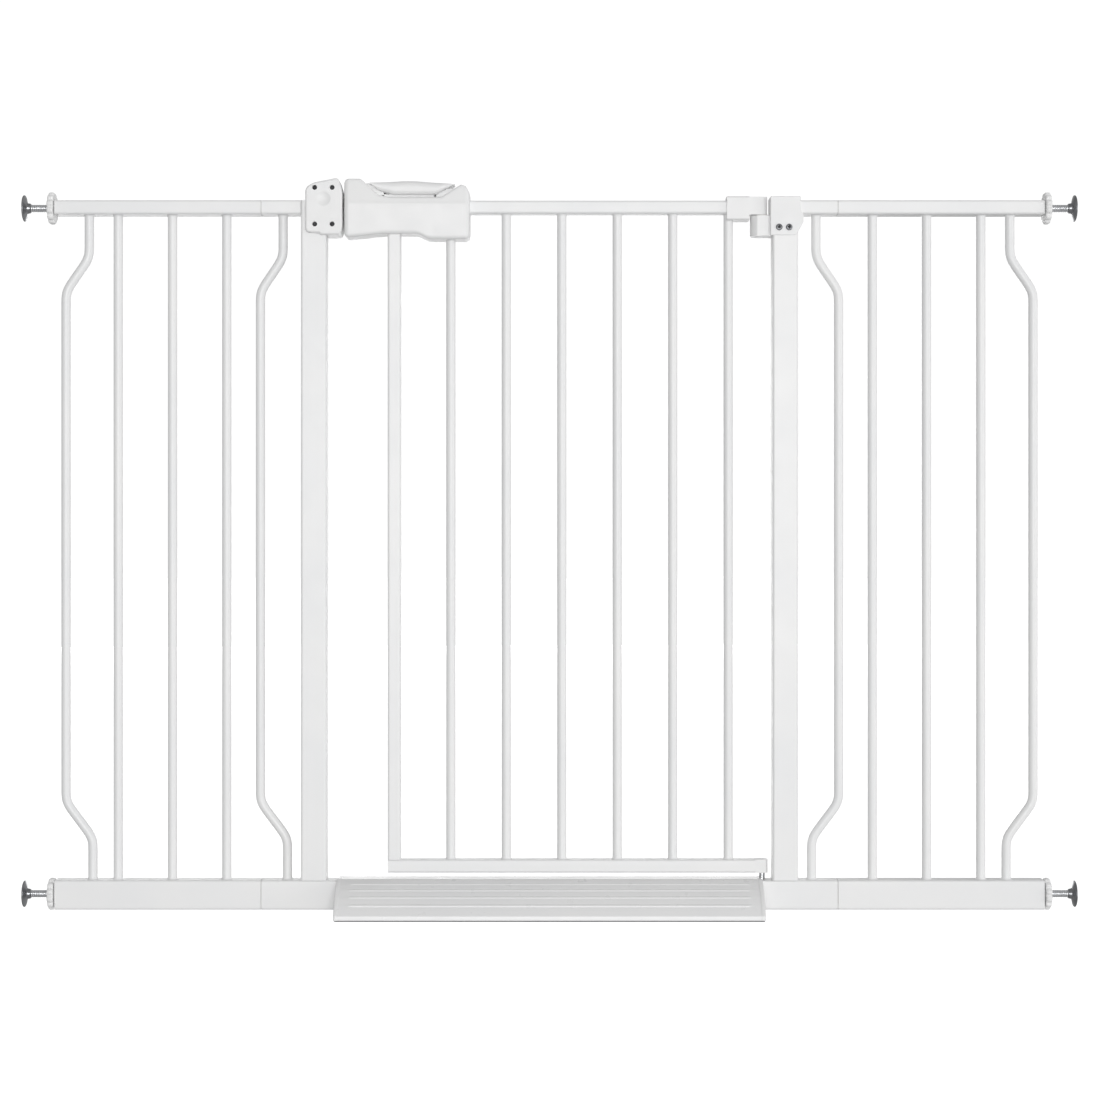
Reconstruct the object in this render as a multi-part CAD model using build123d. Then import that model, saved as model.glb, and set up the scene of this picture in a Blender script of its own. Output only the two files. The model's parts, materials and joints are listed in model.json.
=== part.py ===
from build123d import *
import math
import os

# Walk-through pet gate. Millimetres, +Z up, front towards -Y, the width along X.
# The origin is on the floor, under the middle of the gate.

# ---- driving sizes -------------------------------------------------------------------
FRAME_HEIGHT = 762.0          # top rail's top above the bottom rail's underside
FLOOR_GAP = 6.0               # bottom rail's underside above the floor
FRAME_DEPTH = 25.0            # front-to-back size of the outer frame's tubes
TUBE_WALL = 1.3
TUBE_CORNER = 2.5

TOP_RAIL_HEIGHT = 15.0
BOTTOM_RAIL_HEIGHT = 31.5
UPRIGHT_WIDTH = 27.5
OPENING_HALF = 239.5          # gate centre to an upright's inner face
JOINT_X = 309.6               # gate centre to the joint between base and extension
JOINT_GAP = 0.6
RAIL_END_X = 530.0
BAR_RADIUS = 5.0
BAR_BORE = 4.0

DOOR_DEPTH = 18.0
DOOR_RAIL_HEIGHT = 14.0
DOOR_LEFT_X = -174.1
DOOR_BOTTOM_Z = 45.3
DOOR_BAR_PITCH = 59.8
DOOR_FIRST_BAR_X = -106.4
DOOR_BAR_COUNT = 6
DOOR_LIFT = 8.0

PIVOT_X = 229.0
PIN_RADIUS = 3.0
RUNNING_GAP = 0.05            # radial play of a pin in its bush

# ---- worked-out places ---------------------------------------------------------------
RAIL_BOTTOM_Z = FLOOR_GAP
RAIL_TOP_Z = FLOOR_GAP + BOTTOM_RAIL_HEIGHT
FRAME_TOP_Z = FLOOR_GAP + FRAME_HEIGHT
TOP_RAIL_Z = FRAME_TOP_Z - TOP_RAIL_HEIGHT
UPRIGHT_OUTER = OPENING_HALF + UPRIGHT_WIDTH
UPRIGHT_MID = OPENING_HALF + UPRIGHT_WIDTH / 2
TOP_RAIL_MID = FRAME_TOP_Z - TOP_RAIL_HEIGHT / 2
BOTTOM_RAIL_MID = RAIL_BOTTOM_Z + BOTTOM_RAIL_HEIGHT / 2
HALF_DEPTH = FRAME_DEPTH / 2
DOOR_TOP_RAIL_Z = FRAME_TOP_Z - DOOR_RAIL_HEIGHT
DOOR_BOTTOM_TOP_Z = DOOR_BOTTOM_Z + DOOR_RAIL_HEIGHT

# ---- vertical bars -------------------------------------------------------------------
EXTENSION_BARS_X = (348.0, 406.5, 465.0)
OUTER_S_BAR = (496.2, 521.3, 492.3)      # X at the top, in the bulge and at the foot
INNER_S_BAR = (287.2, 311.7, 282.5)
S_BEND_HEIGHTS = (707.2, 671.1, 120.5, 81.7)
S_BEND_RADIUS = 27.0

# ---- rail joints ---------------------------------------------------------------------
INSERT_INNER_X = 272.0
INSERT_OUTER_X = 345.0
INSERT_PLAY = 0.15
JOINT_SCREWS_X = (292.0, 325.0)

# ---- wall spindles -------------------------------------------------------------------
PLUG_DEPTH = 18.0
PLUG_FLANGE = 1.4
WHEEL_GAP = 0.4
WHEEL_WIDTH = 8.4
WHEEL_RADIUS = 17.25
WHEEL_SCALLOPS = 12
ROD_RADIUS = 4.0
ROD_INNER_X = 470.0
CUP_BACK_X = 559.5
CUP_RADIUS = 14.25
CUP_RIM = 1.7
CUP_RIM_X = 566.7
PAD_SEAT_X = 564.9
PAD_FACE_X = 567.2
PAD_RADIUS = 11.6

# ---- latch keeper on the left upright ------------------------------------------------
KEEPER_HALF_DEPTH = 18.0
KEEPER_FACE_X = -222.1
KEEPER_SCREWS = ((-251.5, 780.6), (-232.8, 780.6), (-251.5, 741.4), (-232.8, 741.4))

# ---- handle and latch ----------------------------------------------------------------
HANDLE_HALF_DEPTH = 18.0
HANDLE_LEFT_X = -220.3
BOLT_Z = 766.4
BOLT_HEIGHT = 9.6
BOLT_DEPTH = 8.0
BOLT_TIP_X = -221.5
BOLT_END_X = -184.0
LATCH_THROW = 4.5
LATCH_DRAW = 7.0
HANDLE_SCREWS = ((-207.0, 740.0), (-210.3, 781.5), (-135.0, 742.5), (-90.6, 772.0))

# ---- hinge ---------------------------------------------------------------------------
SLEEVE_LEFT_X = 190.5
SLEEVE_SHOULDER_X = 214.6
SLEEVE_END_X = 234.4
SLEEVE_TOP_Z = 772.3
SLEEVE_BOTTOM_Z = 747.1
TONGUE_Z = 753.1
TONGUE_HALF_DEPTH = 7.0
BRACKET_LEFT_X = 237.0
BRACKET_RIGHT_X = 269.5
BRACKET_Z = 730.1
BRACKET_TOP_Z = 771.9
ARM_TOP_Z = 751.6
BRACKET_HALF_DEPTH = 13.9
BRACKET_SCREWS_X = (246.3, 257.0)
BRACKET_SCREW_Z = 738.7

# ---- threshold ramp ------------------------------------------------------------------
RAMP_HALF_WIDTH = 228.3
RAMP_CAP = 4.3
RAMP_TOP_Z = 39.0
RAMP_REACH = 57.0
RAMP_LIP_Z = 7.5
RAMP_FOOT = 10.0
STRIP_HEIGHT = 1.5


# ---- helpers -------------------------------------------------------------------------
def bar_x(x0, x1, z_mid, depth, height, corner):
    """A solid rectangular bar along X with rounded long edges."""
    plane = Plane(origin=(x0, 0, z_mid), x_dir=(0, 1, 0), z_dir=(1, 0, 0))
    return extrude(plane * RectangleRounded(depth, height, corner), x1 - x0)


def bar_z(z0, z1, x_mid, width, depth, corner):
    """A solid rectangular bar along Z with rounded long edges."""
    plane = Plane(origin=(x_mid, 0, z0))
    return extrude(plane * RectangleRounded(width, depth, corner), z1 - z0)


def tube_x(x0, x1, z_mid, depth, height):
    """A rectangular tube along X, open at both ends."""
    outer = bar_x(x0, x1, z_mid, depth, height, TUBE_CORNER)
    inner_corner = TUBE_CORNER - TUBE_WALL
    return outer - bar_x(x0, x1, z_mid, depth - 2 * TUBE_WALL, height - 2 * TUBE_WALL, inner_corner)


def tube_z(z0, z1, x_mid, width, depth):
    """A rectangular tube along Z, open at both ends."""
    outer = bar_z(z0, z1, x_mid, width, depth, TUBE_CORNER)
    inner_corner = TUBE_CORNER - TUBE_WALL
    return outer - bar_z(z0, z1, x_mid, width - 2 * TUBE_WALL, depth - 2 * TUBE_WALL, inner_corner)


def block(x0, x1, y0, y1, z0, z1):
    """A plain block between two corners."""
    return Pos((x0 + x1) / 2, (y0 + y1) / 2, (z0 + z1) / 2) * Box(x1 - x0, y1 - y0, z1 - z0)


def rod_x(x0, x1, z, radius, y=0.0):
    """A round rod along X."""
    plane = Plane(origin=(x0, y, z), x_dir=(0, 1, 0), z_dir=(1, 0, 0))
    return extrude(plane * Circle(radius), x1 - x0)


def rod_y(y0, y1, x, z, radius):
    """A round rod along Y."""
    plane = Plane(origin=(x, y0, z), x_dir=(0, 0, 1), z_dir=(0, 1, 0))
    return extrude(plane * Circle(radius), y1 - y0)


def rod_z(z0, z1, x, radius):
    """A round rod along Z in the gate's middle plane."""
    return extrude(Plane(origin=(x, 0, z0)) * Circle(radius), z1 - z0)


def plate_xz(corners, y0, y1):
    """A plate of the closed outline (x, z, corner radius)... between two Y planes."""
    points = [(x, z) for x, z, radius in corners]
    radii = [radius for x, z, radius in corners]
    outline = make_face(FilletPolyline(*points, radius=radii, close=True))
    plane = Plane(origin=(0, y1, 0), x_dir=(1, 0, 0), z_dir=(0, -1, 0))
    return extrude(plane * outline, y1 - y0)


def mirrored(shape):
    """The same piece on the other side of the gate's centre."""
    return mirror(shape, Plane.YZ)


def screw_y(y_head, direction, x, z, head_radius, head_height, shank_radius, shank_length):
    """A screw along Y. Its head starts at y_head and its shank runs on in direction."""
    neck = y_head + direction * head_height
    tip = neck + direction * shank_length
    head = rod_y(min(y_head, neck), max(y_head, neck), x, z, head_radius)
    shank = rod_y(min(neck, tip), max(neck, tip), x, z, shank_radius)
    socket = rod_y(min(y_head, y_head + direction), max(y_head, y_head + direction), x, z, shank_radius * 0.8)
    return head + shank - socket


# The two sides of the parting plane, round the latch.
FRONT_HALF = block(-300, 0, -40, 0, 700, 800)
REAR_HALF = block(-300, 0, 0, 40, 700, 800)

nodes = {}

# ---- base frame: one bottom rail, two uprights, two short top stubs --------------------
base_end = JOINT_X - JOINT_GAP / 2
LOWER_BUSH_RADIUS = 5.0
LOWER_BUSH_Z = 22.0

base_rail = tube_x(-base_end, base_end, BOTTOM_RAIL_MID, FRAME_DEPTH, BOTTOM_RAIL_HEIGHT)
base_rail -= rod_z(BOTTOM_RAIL_MID, RAIL_TOP_Z + 1, PIVOT_X, LOWER_BUSH_RADIUS)

top_stub = tube_x(UPRIGHT_OUTER, base_end, TOP_RAIL_MID, FRAME_DEPTH, TOP_RAIL_HEIGHT)

KEEPER_BOLT_HOLE = 2.0
left_upright = tube_z(RAIL_TOP_Z, FRAME_TOP_Z, -UPRIGHT_MID, UPRIGHT_WIDTH, FRAME_DEPTH)
left_upright -= rod_y(-HALF_DEPTH - 1, HALF_DEPTH + 1, *KEEPER_SCREWS[2], KEEPER_BOLT_HOLE)

BRACKET_SCREW_RADIUS = 2.0
right_upright = tube_z(RAIL_TOP_Z, FRAME_TOP_Z, UPRIGHT_MID, UPRIGHT_WIDTH, FRAME_DEPTH)
for x in BRACKET_SCREWS_X:
    right_upright -= rod_y(-HALF_DEPTH - 1, 0, x, BRACKET_SCREW_Z, BRACKET_SCREW_RADIUS)


def s_bar(top_x, bulge_x, foot_x):
    """A round bar that bends out to a bulge and back, between the two rails."""
    z1, z2, z3, z4 = S_BEND_HEIGHTS
    route = [
        (top_x, 0, TOP_RAIL_Z), (top_x, 0, z1), (bulge_x, 0, z2),
        (bulge_x, 0, z3), (foot_x, 0, z4), (foot_x, 0, RAIL_TOP_Z),
    ]
    path = FilletPolyline(*route, radius=S_BEND_RADIUS)
    start = Plane(origin=path @ 0, z_dir=path % 0)
    return sweep(start * Circle(BAR_RADIUS), path=path) - sweep(start * Circle(BAR_BORE), path=path)


def straight_bar(x, z0, z1):
    """A straight round tube between two rails."""
    return rod_z(z0, z1, x, BAR_RADIUS) - rod_z(z0, z1, x, BAR_BORE)


nodes["base_bottom_rail"] = base_rail
nodes["base_left_upright"] = left_upright
nodes["base_right_upright"] = right_upright

# ---- rail joints: a spigot inside each pair of tubes, held by two screws from behind ----
SCREW_SHANK = 2.4
JOINT_SCREW_HEAD = 4.2


def joint_insert(z_mid, height):
    """A spigot inside both tubes, drilled for its two screws."""
    inner_depth = FRAME_DEPTH - 2 * (TUBE_WALL + INSERT_PLAY)
    inner_height = height - 2 * (TUBE_WALL + INSERT_PLAY)
    spigot = bar_x(INSERT_INNER_X, INSERT_OUTER_X, z_mid, inner_depth, inner_height, TUBE_CORNER - TUBE_WALL)
    for x in JOINT_SCREWS_X:
        spigot -= rod_y(0, HALF_DEPTH, x, z_mid, SCREW_SHANK)
    return spigot


def joint_screw(x, z):
    """A pan-head screw through the rail's rear wall into the spigot."""
    return screw_y(HALF_DEPTH + 2.2, -1, x, z, JOINT_SCREW_HEAD, 2.2, SCREW_SHANK, HALF_DEPTH)


def drilled(rail, z_mid):
    """The rail with clearance holes in its rear wall for the joint screws."""
    for x in JOINT_SCREWS_X:
        rail -= rod_y(HALF_DEPTH - TUBE_WALL - 0.5, HALF_DEPTH + 1, x, z_mid, SCREW_SHANK + 0.1)
    return rail


base_half_rail = drilled(nodes["base_bottom_rail"], BOTTOM_RAIL_MID)
nodes["base_bottom_rail"] = mirrored(drilled(mirrored(base_half_rail), BOTTOM_RAIL_MID))

extension_start = JOINT_X + JOINT_GAP / 2
ext_top = drilled(
    tube_x(extension_start, RAIL_END_X, TOP_RAIL_MID, FRAME_DEPTH, TOP_RAIL_HEIGHT), TOP_RAIL_MID)
ext_bottom = drilled(
    tube_x(extension_start, RAIL_END_X, BOTTOM_RAIL_MID, FRAME_DEPTH, BOTTOM_RAIL_HEIGHT), BOTTOM_RAIL_MID)
ext_bars = [straight_bar(x, RAIL_TOP_Z, TOP_RAIL_Z) for x in EXTENSION_BARS_X]
stub = drilled(top_stub, TOP_RAIL_MID)

for side, place in (("left", mirrored), ("right", lambda shape: shape)):
    nodes[f"base_{side}_top_stub"] = place(stub)
    nodes[f"base_{side}_s_bar"] = place(s_bar(*INNER_S_BAR))
    nodes[f"{side}_extension_top_rail"] = place(ext_top)
    nodes[f"{side}_extension_bottom_rail"] = place(ext_bottom)
    nodes[f"{side}_extension_bars"] = [place(bar) for bar in ext_bars]
    nodes[f"{side}_extension_s_bar"] = place(s_bar(*OUTER_S_BAR))

RAIL_LEVELS = ((TOP_RAIL_MID, TOP_RAIL_HEIGHT), (BOTTOM_RAIL_MID, BOTTOM_RAIL_HEIGHT))
inserts = [joint_insert(z, height) for z, height in RAIL_LEVELS]
nodes["joint_inserts"] = inserts + [mirrored(piece) for piece in inserts]
joint_screws = [joint_screw(x, z) for z, height in RAIL_LEVELS for x in JOINT_SCREWS_X]
nodes["joint_screws"] = joint_screws + [mirrored(piece) for piece in joint_screws]

# ---- spindles, wheels and end plugs ----------------------------------------------------
WHEEL_X = RAIL_END_X + PLUG_FLANGE + WHEEL_GAP


def end_plug(z_mid, height):
    """A plastic plug in a rail's end, with a flange outside and a bore for the spindle."""
    body = bar_x(
        RAIL_END_X - PLUG_DEPTH, RAIL_END_X, z_mid, FRAME_DEPTH - 2 * TUBE_WALL,
        height - 2 * TUBE_WALL, TUBE_CORNER - TUBE_WALL)
    flange = bar_x(RAIL_END_X, RAIL_END_X + PLUG_FLANGE, z_mid, FRAME_DEPTH, height, TUBE_CORNER)
    return body + flange - rod_x(RAIL_END_X - PLUG_DEPTH - 1, RAIL_END_X + 5, z_mid, ROD_RADIUS + 0.15)


def spindle(z):
    """A threaded rod with a dished cup fixed to its outer end."""
    rod = rod_x(ROD_INNER_X, CUP_BACK_X, z, ROD_RADIUS)
    profile = Polyline(
        (CUP_BACK_X - 0.5, 0), (CUP_BACK_X - 0.5, 5.2), (CUP_BACK_X + 1.8, 6.4),
        (CUP_RIM_X - CUP_RIM - 0.3, CUP_RADIUS - 0.6), (CUP_RIM_X - CUP_RIM, CUP_RADIUS),
        (CUP_RIM_X, CUP_RADIUS), (CUP_RIM_X, PAD_RADIUS), (PAD_SEAT_X, PAD_RADIUS),
        (PAD_SEAT_X, 0), close=True)
    cup = revolve(Plane.XZ * make_face(profile), Axis.X)
    return rod + Pos(0, 0, z) * cup


def wall_pad(z):
    """The rubber disc that sits in the cup and meets the wall."""
    return rod_x(PAD_SEAT_X, PAD_FACE_X, z, PAD_RADIUS)


def wheel(z):
    """A scalloped hand wheel with a hub towards the wall."""
    body = rod_x(WHEEL_X, WHEEL_X + WHEEL_WIDTH, z, WHEEL_RADIUS)
    scallop_ring = WHEEL_RADIUS + 2.4
    for i in range(WHEEL_SCALLOPS):
        angle = 2 * math.pi * i / WHEEL_SCALLOPS
        y = scallop_ring * math.cos(angle)
        dz = scallop_ring * math.sin(angle)
        body -= rod_x(WHEEL_X - 1, WHEEL_X + WHEEL_WIDTH + 1, z + dz, 3.6, y)
    return body - rod_x(WHEEL_X - 1, WHEEL_X + WHEEL_WIDTH + 1, z, ROD_RADIUS + RUNNING_GAP)


plugs = [end_plug(z, height) for z, height in RAIL_LEVELS]
nodes["rail_end_plugs"] = plugs + [mirrored(piece) for piece in plugs]

for level, z in (("top", TOP_RAIL_MID), ("bottom", BOTTOM_RAIL_MID)):
    for side, place in (("left", mirrored), ("right", lambda shape: shape)):
        nodes[f"spindle_{side}_{level}"] = place(spindle(z))
        nodes[f"wall_pad_{side}_{level}"] = place(wall_pad(z))
        nodes[f"wheel_{side}_{level}"] = place(wheel(z))

# ---- latch keeper: two shells round the left upright's top ------------------------------
KEEPER_OUTLINE = (
    (-261.8, 733.0, 5.0), (-261.8, 781.0, 8.0), (-252.0, 786.3, 6.0), (-226.5, 791.2, 3.5),
    (KEEPER_FACE_X, 777.0, 20.0), (KEEPER_FACE_X, 737.0, 20.0), (-224.8, 730.3, 4.0),
    (-245.0, 730.3, 2.0), (-247.0, 732.2, 2.0),
)
POCKET_DEPTH = 7.5
KEEPER_EDGE = 2.2
DIMPLE_X = -242.3
DIMPLE_Z = 768.6
DIMPLE_BALL = 26.0
DIMPLE_DEPTH = 1.2
keeper_block = plate_xz(KEEPER_OUTLINE, -KEEPER_HALF_DEPTH, KEEPER_HALF_DEPTH)
keeper_rims = keeper_block.edges().group_by(Axis.Y)
keeper_block = fillet(keeper_rims[0] + keeper_rims[-1], KEEPER_EDGE)
dimple_y = KEEPER_HALF_DEPTH + DIMPLE_BALL - DIMPLE_DEPTH
keeper_block -= Pos(DIMPLE_X, -dimple_y, DIMPLE_Z) * Sphere(DIMPLE_BALL)
keeper_block -= block(
    -UPRIGHT_OUTER - 1, -OPENING_HALF, -HALF_DEPTH, HALF_DEPTH, BRACKET_Z - 10, FRAME_TOP_Z)
keeper_block -= block(
    KEEPER_FACE_X - POCKET_DEPTH, KEEPER_FACE_X + 5, -BOLT_DEPTH / 2 - 1.5, BOLT_DEPTH / 2 + 1.5,
    BOLT_Z - BOLT_HEIGHT / 2 - 1, BOLT_Z + BOLT_HEIGHT / 2 + DOOR_LIFT + 1)

KEEPER_SHANK = 1.9
KEEPER_HEAD = 2.6
KEEPER_RECESS = 3.0
keeper_front = keeper_block & FRONT_HALF
keeper_rear = keeper_block & REAR_HALF
keeper_screws = []
for x, z in KEEPER_SCREWS:
    recess_y = -KEEPER_HALF_DEPTH + KEEPER_RECESS
    keeper_front -= rod_y(-KEEPER_HALF_DEPTH - 1, recess_y, x, z, KEEPER_HEAD + 0.1)
    keeper_front -= rod_y(recess_y, recess_y + 2, x, z, KEEPER_HEAD)
    keeper_front -= rod_y(recess_y, 1, x, z, KEEPER_SHANK)
    keeper_rear -= rod_y(-1, KEEPER_HALF_DEPTH - 3, x, z, KEEPER_SHANK)
    length = 2 * KEEPER_HALF_DEPTH - KEEPER_RECESS - 2 - 3
    keeper_screws.append(screw_y(recess_y, 1, x, z, KEEPER_HEAD, 2, KEEPER_SHANK, length))
nodes["keeper_front"] = keeper_front
nodes["keeper_rear"] = keeper_rear
nodes["keeper_screws"] = keeper_screws

# ---- hinge bracket on the right upright --------------------------------------------------
ARM_ROUND = 12.9
UPPER_BUSH_RADIUS = 5.5
BUSH_FLANGE = 7.5
BUSH_FLANGE_HEIGHT = TONGUE_Z - ARM_TOP_Z - 0.1
UPPER_BUSH_Z = 734.0
BRACKET_EDGE = 0.9
BRACKET_OUTLINE = (
    (BRACKET_LEFT_X, BRACKET_Z, 0.5), (BRACKET_LEFT_X, BRACKET_TOP_Z, 1.0),
    (BRACKET_RIGHT_X, BRACKET_TOP_Z, 1.0), (BRACKET_RIGHT_X, 757.0, 3.0),
    (BRACKET_RIGHT_X + 3.0, 753.5, 3.0), (BRACKET_RIGHT_X + 3.0, 744.0, 5.0), (264.5, BRACKET_Z, 4.0),
)
bracket = plate_xz(BRACKET_OUTLINE, -BRACKET_HALF_DEPTH, BRACKET_HALF_DEPTH)
bracket_rims = bracket.edges().group_by(Axis.Y)
bracket = fillet(bracket_rims[0] + bracket_rims[-1], BRACKET_EDGE)
bracket -= block(OPENING_HALF, UPRIGHT_OUTER, -HALF_DEPTH, HALF_DEPTH, 700, FRAME_TOP_Z)
bracket -= block(
    UPRIGHT_OUTER - 1, BRACKET_RIGHT_X + 10, -HALF_DEPTH, HALF_DEPTH, TOP_RAIL_Z, FRAME_TOP_Z)
arm = rod_z(BRACKET_Z, ARM_TOP_Z, PIVOT_X, ARM_ROUND)
arm &= block(PIVOT_X - 20, BRACKET_LEFT_X, -11.5, 11.5, 700, 800)
bracket += arm
bracket -= rod_z(UPPER_BUSH_Z, ARM_TOP_Z + 1, PIVOT_X, UPPER_BUSH_RADIUS)
bracket_screws = []
for x in BRACKET_SCREWS_X:
    bracket -= rod_y(-BRACKET_HALF_DEPTH - 1, 0, x, BRACKET_SCREW_Z, BRACKET_SCREW_RADIUS)
    bracket_screws.append(screw_y(
        -BRACKET_HALF_DEPTH - 1.8, 1, x, BRACKET_SCREW_Z, 3.6, 1.8, BRACKET_SCREW_RADIUS, 11.0))
nodes["hinge_bracket"] = bracket
nodes["hinge_bracket_screws"] = bracket_screws

# ---- pins and bushes on the pivot line ---------------------------------------------------
PIN_BORE = PIN_RADIUS + RUNNING_GAP
UPPER_PIN_Z = (736.0, 768.5)
LOWER_PIN_Z = (24.5, 57.5)

upper_bush = rod_z(UPPER_BUSH_Z, ARM_TOP_Z, PIVOT_X, UPPER_BUSH_RADIUS)
upper_bush += rod_z(ARM_TOP_Z, ARM_TOP_Z + BUSH_FLANGE_HEIGHT, PIVOT_X, BUSH_FLANGE)
upper_bush -= rod_z(UPPER_PIN_Z[0], 800, PIVOT_X, PIN_BORE)
lower_bush = rod_z(LOWER_BUSH_Z, RAIL_TOP_Z, PIVOT_X, LOWER_BUSH_RADIUS)
lower_bush -= rod_z(LOWER_PIN_Z[0], 100, PIVOT_X, PIN_BORE)
nodes["upper_pivot_bush"] = upper_bush
nodes["lower_pivot_bush"] = lower_bush
nodes["upper_pivot_pin"] = rod_z(*UPPER_PIN_Z, PIVOT_X, PIN_RADIUS)
nodes["lower_pivot_pin"] = rod_z(*LOWER_PIN_Z, PIVOT_X, PIN_RADIUS)

# ---- threshold ramp over the base rail ---------------------------------------------------
RAIL_PLAY = 0.1
RAMP_SKIN = 3.0
PIN_NOTCH_PLAY = 0.4


def ramp_profile(grow):
    """The ramp's outline in the YZ plane: flat top, rounded slopes, low upright lips."""
    top = RAMP_TOP_Z + grow
    reach = RAMP_REACH + grow
    lines = [
        Line((-HALF_DEPTH, top), (HALF_DEPTH, top)),
        ThreePointArc((HALF_DEPTH, top), (37.0 + grow, 26.8 + grow), (reach - 1, RAMP_LIP_Z)),
        Line((reach - 1, RAMP_LIP_Z), (reach, STRIP_HEIGHT)),
        Line((reach, STRIP_HEIGHT), (-reach, STRIP_HEIGHT)),
        Line((-reach, STRIP_HEIGHT), (-reach + 1, RAMP_LIP_Z)),
        ThreePointArc((-reach + 1, RAMP_LIP_Z), (-37.0 - grow, 26.8 + grow), (-HALF_DEPTH, top)),
    ]
    return make_face(Curve() + lines)


def ramp_slice(x0, x1, grow):
    """A length of the ramp's section, cut out for the base rail."""
    plane = Plane(origin=(x0, 0, 0), x_dir=(0, 1, 0), z_dir=(1, 0, 0))
    solid = extrude(plane * ramp_profile(grow), x1 - x0)
    side = HALF_DEPTH + RAIL_PLAY
    return solid - block(x0 - 1, x1 + 1, -side, side, -1, RAIL_TOP_Z + RAIL_PLAY)


cover_half = RAMP_HALF_WIDTH - RAMP_CAP
cover = ramp_slice(-cover_half, cover_half, 0.0)
cavity_plane = Plane(origin=(-cover_half - 1, 0, 0), x_dir=(0, 1, 0), z_dir=(1, 0, 0))
cavity_side = HALF_DEPTH + RAIL_PLAY + RAMP_SKIN
cavity_outer = RAMP_REACH - RAMP_FOOT
cavity_lines = [
    Line((cavity_side, STRIP_HEIGHT - 1), (cavity_side, 34.0)),
    Line((cavity_side, 34.0), (34.5, 23.5)),
    Line((34.5, 23.5), (cavity_outer, 11.5)),
    Line((cavity_outer, 11.5), (cavity_outer, STRIP_HEIGHT - 1)),
    Line((cavity_outer, STRIP_HEIGHT - 1), (cavity_side, STRIP_HEIGHT - 1)),
]
cavity = extrude(cavity_plane * make_face(Curve() + cavity_lines), 2 * cover_half + 2)
cover -= cavity
cover -= mirror(cavity, Plane.XZ)
end_cap = ramp_slice(cover_half, RAMP_HALF_WIDTH, 0.5)
end_cap -= rod_z(RAIL_TOP_Z - 1, RAMP_TOP_Z + 5, PIVOT_X, PIN_RADIUS + PIN_NOTCH_PLAY)
strip = block(
    -RAMP_HALF_WIDTH + 1, RAMP_HALF_WIDTH - 1, cavity_outer + 1, RAMP_REACH - 1.5, 0, STRIP_HEIGHT)
nodes["ramp_cover"] = cover
nodes["ramp_end_caps"] = [end_cap, mirrored(end_cap)]
nodes["ramp_grip_strips"] = [strip, mirror(strip, Plane.XZ)]

# ---- door frame -----------------------------------------------------------------------
DOOR_UPRIGHT_WIDTH = 14.0
SLEEVE_POCKET_X = 212.0
door_upright_mid = DOOR_LEFT_X + DOOR_UPRIGHT_WIDTH / 2
door_top_mid = FRAME_TOP_Z - DOOR_RAIL_HEIGHT / 2
door_bottom_mid = DOOR_BOTTOM_Z + DOOR_RAIL_HEIGHT / 2
DOOR_PLUG_X = 221.0
DOOR_PLUG_END_X = 234.6
DOOR_PLUG_ROUND = 4.0
CORNER_CAP = 1.6

nodes["door_top_rail"] = tube_x(
    DOOR_LEFT_X, SLEEVE_POCKET_X, door_top_mid, DOOR_DEPTH, DOOR_RAIL_HEIGHT)
nodes["door_bottom_rail"] = tube_x(
    DOOR_LEFT_X + CORNER_CAP, DOOR_PLUG_X, door_bottom_mid, DOOR_DEPTH, DOOR_RAIL_HEIGHT)
nodes["door_latch_upright"] = tube_z(
    DOOR_BOTTOM_TOP_Z, DOOR_TOP_RAIL_Z, door_upright_mid, DOOR_UPRIGHT_WIDTH, DOOR_DEPTH)
door_bars_x = [DOOR_FIRST_BAR_X + i * DOOR_BAR_PITCH for i in range(DOOR_BAR_COUNT)]
nodes["door_bars"] = [straight_bar(x, DOOR_BOTTOM_TOP_Z, DOOR_TOP_RAIL_Z) for x in door_bars_x]

inner_depth = DOOR_DEPTH - 2 * TUBE_WALL
inner_height = DOOR_RAIL_HEIGHT - 2 * TUBE_WALL
inner_corner = TUBE_CORNER - TUBE_WALL
pivot_plug = block(
    DOOR_PLUG_X, DOOR_PLUG_END_X, -DOOR_DEPTH / 2, DOOR_DEPTH / 2, DOOR_BOTTOM_Z, DOOR_BOTTOM_TOP_Z)
pivot_plug = fillet(pivot_plug.edges().filter_by(Axis.Z).group_by(Axis.X)[-1], DOOR_PLUG_ROUND)
pivot_plug += bar_x(DOOR_PLUG_X - 20, DOOR_PLUG_X, door_bottom_mid, inner_depth, inner_height, inner_corner)
pivot_plug -= rod_z(DOOR_BOTTOM_Z - 1, LOWER_PIN_Z[1] + 0.3, PIVOT_X, PIN_BORE)
corner_cap = bar_x(
    DOOR_LEFT_X, DOOR_LEFT_X + CORNER_CAP, door_bottom_mid, DOOR_DEPTH, DOOR_RAIL_HEIGHT, TUBE_CORNER)
corner_cap += bar_x(
    DOOR_LEFT_X + CORNER_CAP, DOOR_LEFT_X + 12, door_bottom_mid, inner_depth, inner_height, inner_corner)
nodes["door_pivot_plug"] = pivot_plug
nodes["door_corner_cap"] = corner_cap

# ---- hinge sleeve on the door's top rail, with the tongue that sits on the arm ------------
SLEEVE_HALF_DEPTH = 12.0
sleeve = block(
    SLEEVE_LEFT_X, SLEEVE_SHOULDER_X, -SLEEVE_HALF_DEPTH, SLEEVE_HALF_DEPTH, SLEEVE_BOTTOM_Z, SLEEVE_TOP_Z)
sleeve = fillet(sleeve.edges().filter_by(Axis.X), 2.0)
tongue = block(
    SLEEVE_SHOULDER_X, SLEEVE_END_X, -TONGUE_HALF_DEPTH, TONGUE_HALF_DEPTH, TONGUE_Z, SLEEVE_TOP_Z)
tongue = fillet(tongue.edges().filter_by(Axis.Z).group_by(Axis.X)[-1], 5.0)
sleeve += tongue
sleeve -= bar_x(
    SLEEVE_LEFT_X - 1, SLEEVE_POCKET_X, door_top_mid, DOOR_DEPTH, DOOR_RAIL_HEIGHT, TUBE_CORNER)
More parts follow.
